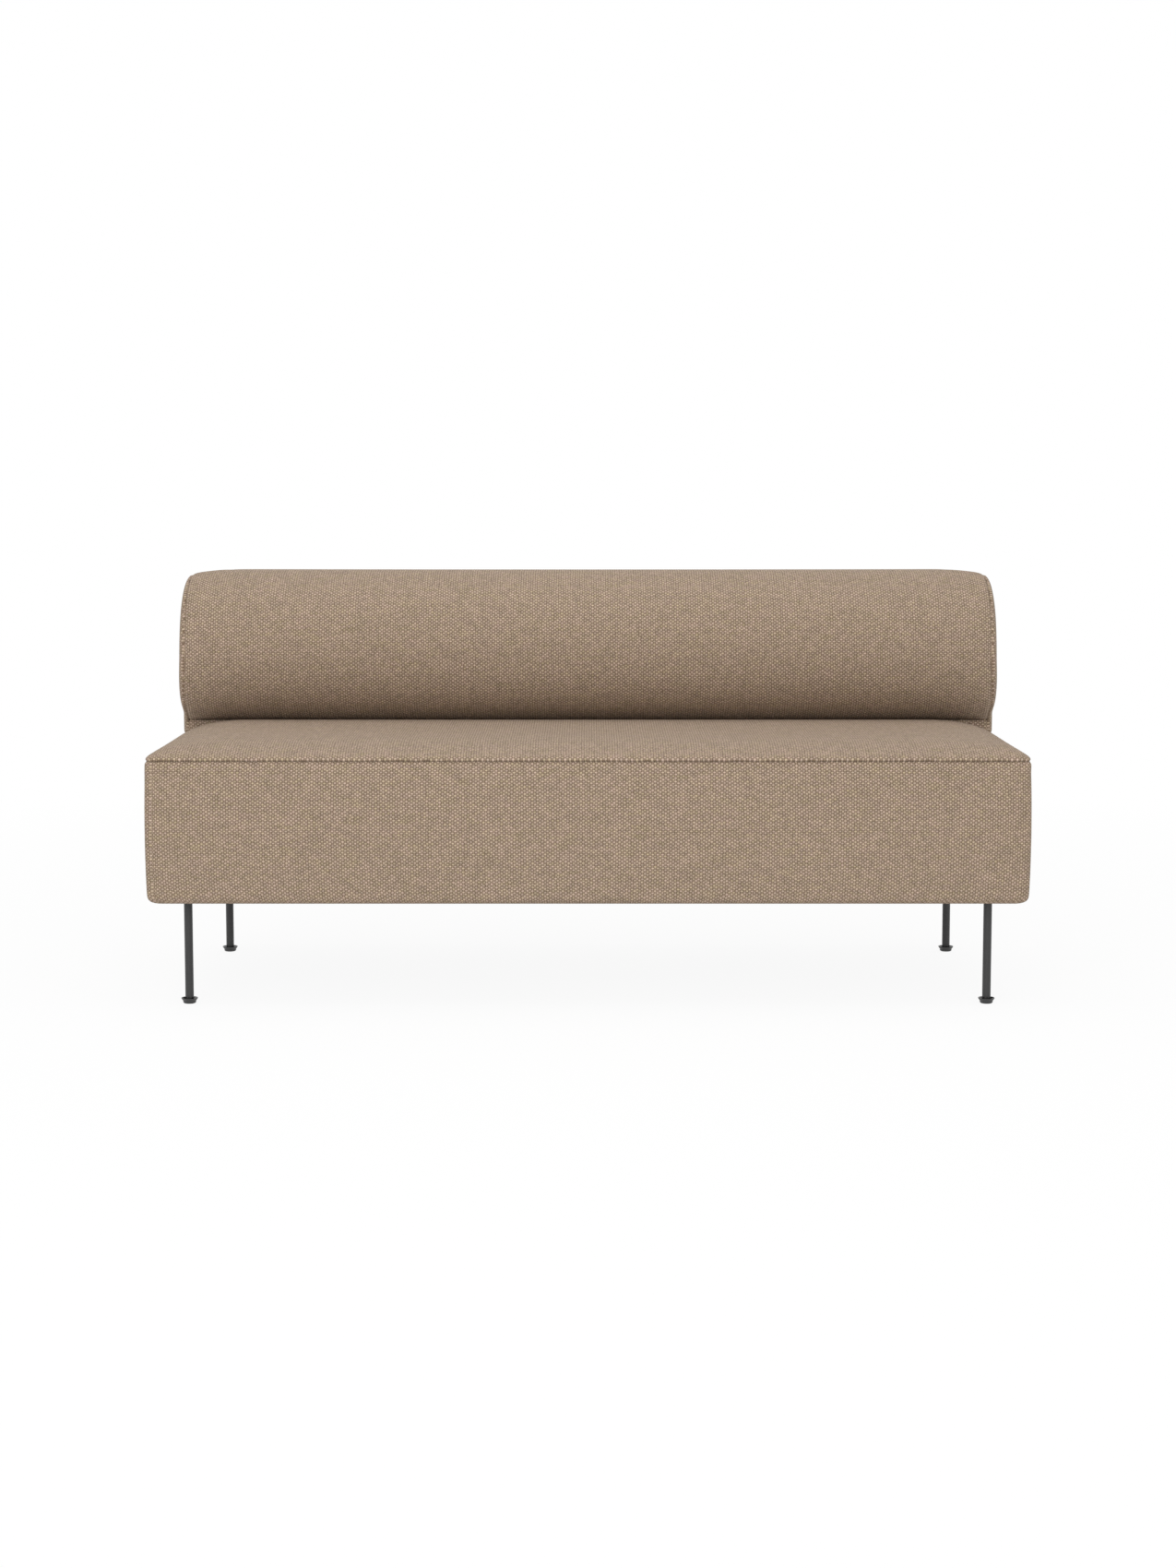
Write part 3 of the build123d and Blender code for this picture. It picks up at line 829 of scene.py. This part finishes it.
class Finish(NodeTree):
    """A material and its nodes."""

    def __init__(self, name):
        self.material = bpy.data.materials.new(name)
        self.material.use_nodes = True
        super().__init__(self.material.node_tree)
        self.shader = self.nodes["Principled BSDF"]

    def blend(self, factor, first, second):
        return self.node("ShaderNodeMix", {"data_type": "RGBA"}, {0: factor, 6: first, 7: second}, 2)

    def split(self, vector):
        made = self.node("ShaderNodeSeparateXYZ", None, {0: vector})
        outputs = made.socket.node.outputs
        return [Reading(self, outputs[i]) for i in range(3)]

    def noise(self, vector, scale, detail=2.0, roughness=0.5):
        values = {"Vector": vector, "Scale": scale, "Detail": detail, "Roughness": roughness}
        return self.node("ShaderNodeTexNoise", None, values)

    def ramp(self, factor, *stops):
        return self.node("ShaderNodeValToRGB", {"stops": stops}, {0: factor})

    def place(self):
        return self.node("ShaderNodeTexCoord", None, None, 3)

    def bump(self, height, distance, strength=1.0):
        values = {"Height": height, "Distance": distance, "Strength": strength}
        return self.node("ShaderNodeBump", None, values)

    def surface(self, **values):
        for name, value in values.items():
            self.put(self.shader.inputs[name.replace("_", " ").title().replace("Ior", "IOR")], value)
        return self.material


def srgb(red, green, blue):
    """A colour given in screen levels, as the linear colour that nodes take."""
    levels = [value / 255.0 for value in (red, green, blue)]
    return tuple(level / 12.92 if level <= 0.04045 else ((level + 0.055) / 1.055) ** 2.4 for level in levels)


def woven_wool():
    """Light oval nubs of thick weft over a darker warp, in staggered rows."""
    made = Finish("woven wool")
    flat = made.node("ShaderNodeUVMap", {"uv_map": "weave"})
    u, v, _ = made.split(flat)
    wander = made.node("ShaderNodeTexNoise", None,
                       {"Vector": flat, "Scale": weave_drift, "Detail": 1.0}, 1)
    drift_u, drift_v, _ = made.split(wander)
    p = (u + (drift_u - 0.5) * drift_along) / weave_width
    q = (v + (drift_v - 0.5) * drift_down) / weave_height
    s = p + q
    t = p - q
    nub_s = s.math("ROUND")
    nub_t = t.math("ROUND")
    chances = made.node("ShaderNodeTexWhiteNoise", {"noise_dimensions": "2D"},
                        {"Vector": made.point(nub_s, nub_t)}, 1)
    chance, push_s, push_t = made.split(chances)
    off_s = s - nub_s + (push_s - 0.5) * nub_jitter
    off_t = t - nub_t + (push_t - 0.5) * nub_jitter
    across = (off_s + off_t) / 2.0
    down = (off_s - off_t) / 2.0
    oval = (across / nub_width_share).math("POWER", 2.0) + (down / nub_height_share).math("POWER", 2.0)
    nub = (1.0 - oval).math("MAXIMUM", 0.0).math("POWER", 0.7)
    gap_s = (s + 0.5) - (s + 0.5).math("ROUND")
    gap_t = (t + 0.5) - (t + 0.5).math("ROUND")
    warp_across = ((gap_s + gap_t) / warp_width_share).math("POWER", 2.0)
    warp_down = ((gap_s - gap_t) / warp_height_share).math("POWER", 2.0)
    warp = (1.0 - (warp_across + warp_down)).math("MAXIMUM", 0.0) * warp_level
    fibre = made.noise(made.point(u * 700.0, v * 1300.0), 1.0, 3.0)
    height = nub.math("MAXIMUM", warp) + (fibre - 0.5) * fibre_level
    row = nub_s - nub_t
    streak = made.noise(made.point(u * 30.0, row * 1.6), 1.0, 2.0)
    mottle = made.noise(flat, 34.0, 3.0, 0.6)
    light = made.ramp(streak, (0.30, srgb(198, 180, 148)), (0.46, srgb(203, 183, 159)),
                      (0.56, srgb(205, 181, 165)), (0.70, srgb(196, 178, 158)))
    dark = made.ramp(mottle, (0.30, srgb(118, 100, 78)), (0.70, srgb(124, 102, 85)))
    depth = (height * 1.05 - 0.05).math("MAXIMUM", 0.0).math("MINIMUM", 1.0)
    cloth = made.blend(depth, dark, light)
    level = 0.86 + chance * 0.28 + (mottle - 0.5) * 0.12
    shade = made.node("ShaderNodeVectorMath", {"operation": "SCALE"}, {0: cloth, "Scale": level})
    return made.surface(base_color=shade, roughness=0.95, sheen_weight=0.03, sheen_roughness=0.5,
                        normal=made.bump(height, 0.0009, 0.7))


def pine():
    """Planed softwood with grain along each board."""
    made = Finish("planed pine")
    x, y, z = made.split(made.place())
    grain = made.noise(made.point(x * 3.0, y * 3.0, z * 60.0), 1.0, 3.0)
    rings = (z * 420.0 + grain * 9.0).math("SINE")
    tone = made.ramp(rings * 0.5 + 0.5, (0.0, srgb(216, 184, 138)), (1.0, srgb(190, 150, 102)))
    return made.surface(base_color=tone, roughness=0.62, normal=made.bump(rings, 0.0002, 0.4))


def plywood():
    """Thin plies at the edges and calm birch grain on the faces."""
    made = Finish("birch plywood")
    x, y, z = made.split(made.place())
    ply = (y * 2400.0).math("SINE")
    grain = made.noise(made.point(x * 6.0, y * 400.0, z * 90.0), 1.0, 3.0)
    tone = made.ramp(grain * 0.7 + ply * 0.12 + 0.15,
                     (0.2, srgb(226, 201, 158)), (0.8, srgb(196, 160, 112)))
    return made.surface(base_color=tone, roughness=0.6, normal=made.bump(grain, 0.0002, 0.4))


def metal(name, colour, roughness, wear):
    """Bright or oiled steel with faint wear."""
    made = Finish(name)
    cloud = made.noise(made.place(), 90.0, 4.0, 0.6)
    darker = tuple(level * wear for level in colour)
    tone = made.ramp(cloud, (0.35, darker), (0.65, colour))
    return made.surface(base_color=tone, metallic=1.0, roughness=roughness + (cloud - 0.5) * 0.2,
                        normal=made.bump(cloud, 0.0001, 0.3))


def powder_coat(name, colour, roughness):
    """Satin powder coat with its fine orange peel."""
    made = Finish(name)
    peel = made.noise(made.place(), 900.0, 2.0)
    cloud = made.noise(made.place(), 14.0, 3.0)
    tone = made.ramp(cloud, (0.3, tuple(level * 0.9 for level in colour)), (0.7, colour))
    return made.surface(base_color=tone, roughness=roughness + (peel - 0.5) * 0.16,
                        coat_weight=0.15, normal=made.bump(peel, 0.00012, 0.35))


def soft_filling(name, scale, detail, mix, dark, light, depth):
    """Foam's open cells or felt's mixed fibres, in two tones."""
    made = Finish(name)
    grain = made.noise(made.place(), scale, detail, mix)
    tone = made.ramp(grain, dark, light)
    return made.surface(base_color=tone, roughness=0.95, normal=made.bump(grain, depth, 0.7))


def foam():
    tones = (0.35, srgb(214, 202, 168)), (0.65, srgb(240, 232, 206))
    return soft_filling("upholstery foam", 1500.0, 2.0, 0.6, *tones, 0.0006)


def felt():
    tones = (0.3, srgb(84, 80, 78)), (0.7, srgb(150, 145, 140))
    return soft_filling("needled felt", 900.0, 4.0, 0.7, *tones, 0.0008)


def dust_cloth():
    """Thin black nonwoven with its pressed dots."""
    made = Finish("nonwoven dust cloth")
    x, y, _ = made.split(made.place())
    dots = (x * 1570.0).math("SINE") * (y * 1570.0).math("SINE")
    hair = made.noise(made.place(), 700.0, 3.0, 0.7)
    tone = made.ramp(hair * 0.8 + dots * 0.1, (0.2, srgb(24, 24, 26)), (0.8, srgb(52, 52, 55)))
    return made.surface(base_color=tone, roughness=0.85, normal=made.bump(dots + hair, 0.0003, 0.5))


def thread():
    """Brown twisted sewing thread, made darker than the cloth so that the stitches also paint the shade in the
    seam groove.
    """
    made = Finish("seam thread with painted seam shade")
    x, y, z = made.split(made.place())
    twist = ((x + y + z) * 5200.0).math("SINE")
    # Painted shade: these dark browns are partly the thread's own colour and partly the shade in the seam
    # groove.
    tone = made.ramp(twist * 0.5 + 0.5, (0.0, srgb(62, 50, 39)), (1.0, srgb(88, 73, 59)))
    return made.surface(base_color=tone, roughness=0.7, normal=made.bump(twist, 0.0001, 0.5))


def finishes():
    """Every material, by the slot in the record that it is for."""
    return {
        "woven_fabric": woven_wool(),
        "foam": foam(),
        "felt": felt(),
        "dust_cloth": dust_cloth(),
        "frame_timber": pine(),
        "frame_plywood": plywood(),
        "spring_wire": metal("oiled spring wire", (0.20, 0.20, 0.21), 0.42, 0.6),
        "zinc_steel": metal("zinc plated steel", (0.62, 0.63, 0.65), 0.34, 0.8),
        "leg_paint": powder_coat("charcoal powder coat", srgb(46, 46, 46), 0.45),
        "foot_paint": powder_coat("charcoal foot coat", srgb(42, 42, 42), 0.40),
    }


def dress_frame(finish):
    """The frame's own nodes get the material of their slot."""
    slots = {part["node"]: part["material_slot"] for part in frame["record"]["subparts"]}
    for name, node in nodes.items():
        node.data.materials.clear()
        node.data.materials.append(finish[slots[name]])


# Dust cover, stitches and staples

def dust_cover(finish):
    """A thin sheet that hangs a little in its middle, with its corners cut out round the leg plates."""
    _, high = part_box("dust_cover")
    cuts = plate_cut()
    cut_x, cut_y = cuts
    lines = []
    for edge, cut in zip(high, cuts):
        outer = spread(cut, edge, dust_step)
        lines.append([-place for place in reversed(outer)] + spread(-cut, cut, dust_step)[1:-1] + outer)
    x, y = np.meshgrid(*lines)
    share = (1 - (x / high[0]) ** 2) * (1 - (y / high[1]) ** 2)
    hang = np.clip(share * hang_slope - hang_start, 0.0, 1.0)
    z = high[2] - dust_lift - dust_sag * hang
    cloth = np.stack([x, y], axis=-1)
    panel = Panel(np.stack([x, y, z], axis=-1), cloth)
    faces, loops = panel.faces(flip=True)
    kept = []
    for number, face in enumerate(faces):
        middle = panel.points.reshape(-1, 3)[list(face)].mean(axis=0)
        if abs(middle[0]) < cut_x or abs(middle[1]) < cut_y:
            kept.append(number)
    used = sorted({corner for number in kept for corner in faces[number]})
    renumber = {corner: place for place, corner in enumerate(used)}
    places = panel.points.reshape(-1, 3)[used]
    cloth = panel.cloth.reshape(-1, 2)[used]
    faces = [tuple(renumber[corner] for corner in faces[number]) for number in kept]
    made = piece_from("dust_cloth", places, faces, cloth, faces)
    made.data.materials.append(finish)
    thicken(made, dust_thickness)
    width, depth = 2 * high[0], 2 * high[1]
    area = width * depth - 4 * (high[0] - cut_x) * (high[1] - cut_y)
    return made, (width, depth), area


def plate_cut():
    """How far from the middle the leg plates' cut-outs start, along X and along Y."""
    low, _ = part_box("leg_rear_right")
    return low[0] - plate_gap, low[1] - plate_gap


class Chain:
    """A run of points for wires to lie along, with the way out of the cloth at each."""

    def __init__(self, places, outs, closed=False):
        self.places = [tuple(float(part) for part in place) for place in places]
        self.outs = [tuple(float(part) for part in out) for out in outs]
        self.closed = closed


def path_mesh(name, chains):
    """The chains as one mesh of edges only."""
    places, outs, edges = [], [], []
    for chain in chains:
        first = len(places)
        places += chain.places
        outs += chain.outs
        edges += [(place, place + 1) for place in range(first, len(places) - 1)]
        if chain.closed:
            edges.append((len(places) - 1, first))
    mesh = bpy.data.meshes.new(name)
    mesh.from_pydata(places, edges, [])
    way_out = mesh.attributes.new("out", "FLOAT_VECTOR", "POINT")
    way_out.data.foreach_set("vector", np.array(outs, np.float32).ravel())
    return mesh


def wires_tree():
    """Short arched wires set out along a path: seam stitches and staples."""
    tree = bpy.data.node_groups.new("wires along a path", "GeometryNodeTree")
    inputs = [("Path", "Geometry"), ("Spacing", "Float"), ("Crown", "Float"), ("Arch", "Float"),
              ("Radius", "Float"), ("Turn", "Float"), ("Jitter", "Float"), ("Finish", "Material")]
    for name, kind in inputs:
        tree.interface.new_socket(name, in_out="INPUT", socket_type="NodeSocket" + kind)
    tree.interface.new_socket("Wires", in_out="OUTPUT", socket_type="NodeSocketGeometry")
    made = NodeTree(tree)
    given = made.nodes.new("NodeGroupInput")
    value = {name: Reading(made, given.outputs[name]) for name, kind in inputs}

    half = value["Crown"] * 0.5
    arch = value["Arch"]
    line = made.node("GeometryNodeCurvePrimitiveBezierSegment", {"mode": "POSITION"}, {
        "Resolution": 4,
        "Start": made.point(half * -1.0, 0.0, arch * -1.0),
        "Start Handle": made.point(half * -0.8, 0.0, arch),
        "End Handle": made.point(half * 0.8, 0.0, arch),
        "End": made.point(half, 0.0, arch * -1.0),
    })
    ring = made.node("GeometryNodeCurvePrimitiveCircle", None, {"Resolution": 6, "Radius": value["Radius"]})
    wire = made.node("GeometryNodeCurveToMesh", None, {"Curve": line, "Profile Curve": ring, "Fill Caps": True})
    wire = made.node("GeometryNodeSetShadeSmooth", None, {"Geometry": wire})

    curve = made.node("GeometryNodeMeshToCurve", None, {"Mesh": value["Path"]})
    points = made.node("GeometryNodeCurveToPoints", {"mode": "LENGTH"},
                       {"Curve": curve, "Length": value["Spacing"]})
    tangent = Reading(made, points.socket.node.outputs["Tangent"])
    out = made.node("GeometryNodeInputNamedAttribute", {"data_type": "FLOAT_VECTOR"}, {"Name": "out"})
    along = made.node("FunctionNodeAlignRotationToVector", {"axis": "X"}, {"Vector": tangent})
    upright = made.node("FunctionNodeAlignRotationToVector", {"axis": "Z", "pivot_axis": "X"},
                        {"Rotation": along, "Vector": out})
    least = value["Jitter"] * -1.0
    chance = made.node("FunctionNodeRandomValue", {"data_type": "FLOAT"},
                       {2: least, 3: value["Jitter"], "Seed": 7}, 1)
    swing = made.node("FunctionNodeEulerToRotation", None,
                      {0: made.point(0.0, 0.0, value["Turn"] + chance)})
    turned = made.node("FunctionNodeRotateRotation", {"rotation_space": "LOCAL"}, {0: upright, 1: swing})
    placed = made.node("GeometryNodeInstanceOnPoints", None,
                       {"Points": points, "Instance": wire, "Rotation": turned})
    real = made.node("GeometryNodeRealizeInstances", None, {0: placed})
    dressed = made.node("GeometryNodeSetMaterial", None, {"Geometry": real, "Material": value["Finish"]})
    last = made.nodes.new("NodeGroupOutput")
    made.put(last.inputs["Wires"], dressed)
    return tree


def wires_along(name, tree, chains, sizes):
    """One plain mesh of wires along the chains."""
    helper = placed(name + "_path", path_mesh(name + "_path", chains))
    row = helper.modifiers.new("row", "NODES")
    row.node_group = tree
    for item in tree.interface.items_tree:
        if item.in_out == "INPUT" and item.name in sizes:
            row[item.identifier] = sizes[item.name]
    graph = bpy.context.evaluated_depsgraph_get()
    mesh = bpy.data.meshes.new_from_object(helper.evaluated_get(graph))
    bpy.data.objects.remove(helper)
    return placed(name, mesh)


def seat_seam_chains():
    """The seam round the crowned top, and the two that close the band at its rear corners."""
    depth = seam_pull - stitch_stand
    chain_places, chain_outs = [], []
    for side, share, turn, _ in band_stations()[0]:
        plan, normal = band_place(side, share, turn, seam_draw + depth)
        chain_places.append((*plan, seam_height))
        chain_outs.append((*normal, 0.0))
    chains = [Chain(chain_places, chain_outs, closed=True)]
    run, draws, heights, out_share, up_share = band_profile()
    for share in (0.0, 1.0):
        places, outs = [], []
        for row in range(len(run)):
            plan, normal = band_place(2, share, 0.0, draws[row])
            shift = out_share[row] * depth
            places.append((plan[0] - normal[0] * shift, plan[1] - normal[1] * shift,
                           heights[row] + up_share[row] * depth))
            outs.append((normal[0] * out_share[row], normal[1] * out_share[row], -up_share[row]))
        chains.append(Chain(places, outs))
    return chains


def back_seam_chains():
    """The seams round both ends of the backrest, and the one along the top of its back."""
    depth = seam_pull - stitch_stand
    outline = back_outline(0.0, 0.0)
    normal = outline_normals(outline)
    line = outline - normal * depth
    chains = []
    for side in (-1, 1):
        places = [(side * back_half, place[0], place[1]) for place in line]
        outs = [(side * 0.7, out[0] * 0.7, out[1] * 0.7) for out in normal]
        chains.append(Chain(widened(places), outs, closed=True))
    x, share, _, _, _ = back_columns()
    places = []
    for column in range(len(x)):
        rear, level = wrap_section(back_puff * share[column], rear_puff * share[column])[-1]
        places.append((x[column], rear - depth, level))
    chains.append(Chain(places, [(0.0, 1.0, 0.0)] * len(places)))
    return chains


def staple_chains():
    """Lines just inside the dust cover's edges, on its underside, between the leg plates."""
    _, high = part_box("dust_cover")
    cut_x, cut_y = plate_cut()
    right, rear = high[0] - staple_inset, high[1] - staple_inset
    end_x, end_y = cut_x - staple_clear, cut_y - staple_clear
    runs = [((-end_x, side * rear), (end_x, side * rear)) for side in (-1, 1)]
    runs += [((side * right, -end_y), (side * right, end_y)) for side in (-1, 1)]
    chains = []
    for start, end in runs:
        places = [(*place, high[2] - staple_arch) for place in line_points(start, end, staple_points)]
        chains.append(Chain(places, [(0.0, 0.0, -1.0)] * len(places)))
    return chains


# Stage, light and camera

def seen_directly(made):
    """One where the camera or a reflection looks, and nought for all other light."""
    camera_ray = made.node("ShaderNodeLightPath", None, None, "Is Camera Ray")
    glossy_ray = Reading(made, camera_ray.socket.node.outputs["Is Glossy Ray"])
    return camera_ray.math("MAXIMUM", glossy_ray)


def floor():
    """A pale floor that looks white, apart from the sofa's shadow near it."""
    corners = [(-1, -1), (1, -1), (1, 1), (-1, 1)]
    places = [(x * floor_reach, y * floor_reach, 0.0) for x, y in corners]
    made = piece_from("floor", places, [(0, 1, 2, 3)])
    look = Finish("pale floor")
    look.surface(base_color=(0.9, 0.9, 0.9, 1.0), roughness=0.9)
    x, y, _ = look.split(look.place())
    away = (x * x + y * y).math("SQRT")
    reach = {"Value": away, "From Min": floor_near, "From Max": floor_far}
    far = look.node("ShaderNodeMapRange", None, reach)
    share = floor_white_share + (1.0 - floor_white_share) * far
    glow = look.node("ShaderNodeEmission", None, {"Color": white, "Strength": 1.0})
    plain = Reading(look, look.shader.outputs[0])
    mix = look.node("ShaderNodeMixShader", None, {0: seen_directly(look) * share, 1: plain, 2: glow})
    look.put(look.nodes["Material Output"].inputs["Surface"], mix)
    made.data.materials.append(look.material)


def daylight():
    """Even light from all round, with a white backdrop where it is looked at."""
    world = bpy.data.worlds.new("studio")
    scene.world = world
    world.use_nodes = True
    sky = NodeTree(world.node_tree)
    light = sky.nodes["Background"]
    light.inputs["Color"].default_value = white
    light.inputs["Strength"].default_value = sky_strength
    backdrop = sky.node("ShaderNodeBackground", None, {"Color": white, "Strength": 1.0})
    lit = Reading(sky, light.outputs[0])
    mix = sky.node("ShaderNodeMixShader", None, {0: seen_directly(sky), 1: lit, 2: backdrop})
    sky.put(sky.nodes["World Output"].inputs["Surface"], mix)


def soft_lamp(name, place, aim, width, depth, power):
    data = bpy.data.lights.new(name, "AREA")
    data.shape = "RECTANGLE"
    data.size = width
    data.size_y = depth
    data.energy = power
    lamp = placed(name, data)
    lamp.location = place
    way = np.array(aim, float) - np.array(place, float)
    level = math.hypot(way[0], way[1])
    lamp.rotation_euler = (math.atan2(level, -way[2]), 0.0, math.atan2(-way[0], way[1]))


def camera():
    data = bpy.data.cameras.new("camera")
    data.lens = camera_lens
    data.sensor_width = film_width
    data.sensor_fit = "AUTO"
    made = placed("camera", data)
    made.location = (0.0, -(half_depth + camera_distance), camera_height)
    made.rotation_euler = (math.radians(90.0 - camera_pitch), 0.0, 0.0)
    scene.camera = made


finish = finishes()
dress_frame(finish)
camera()
daylight()
soft_lamp("overhead", *overhead_lamp)
soft_lamp("front", *front_lamp)
floor()

cushion = seat_cushion()
band = seat_band()
wrap = back_wrap()
rear_panel = back_rear_panel()
end_left = back_end_panel("back_end_left", -1)
end_right = back_end_panel("back_end_right", 1)
dust, dust_flat, dust_area = dust_cover(finish["dust_cloth"])

wires = wires_tree()
stitch_sizes = {"Spacing": stitch_spacing, "Crown": stitch_length, "Arch": stitch_arch,
                "Radius": stitch_radius, "Turn": 0.0, "Jitter": 0.0, "Finish": thread()}
staple_sizes = {"Spacing": staple_spacing, "Crown": staple_width, "Arch": staple_arch,
                "Radius": staple_radius, "Turn": staple_turn, "Jitter": staple_jitter,
                "Finish": finish["zinc_steel"]}
seat_stitches = wires_along("seat_stitches", wires, seat_seam_chains(), stitch_sizes)
back_stitches = wires_along("back_stitches", wires, back_seam_chains(), stitch_sizes)
staples = wires_along("dust_cover_staples", wires, staple_chains(), staple_sizes)
stitch_slots = ((seat_stitches, "woven_fabric"), (back_stitches, "woven_fabric"), (staples, "zinc_steel"))
for made, slot in stitch_slots:
    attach(made, "root")

for made in (cushion, band, wrap, rear_panel, end_left, end_right):
    made.data.materials.append(finish["woven_fabric"])
    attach(made, "root")
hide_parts("seat_cover_top", "seat_foam")
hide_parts("seat_cover_band", "padding_front", "padding_rear", "padding_left", "padding_right")
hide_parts("back_cover_front", "back_foam")
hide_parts("back_cover_rear")
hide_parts("back_cover_end_left")
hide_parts("back_cover_end_right")
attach(dust, "root")
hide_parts("dust_cover")

scene.view_settings.view_transform = "Standard"
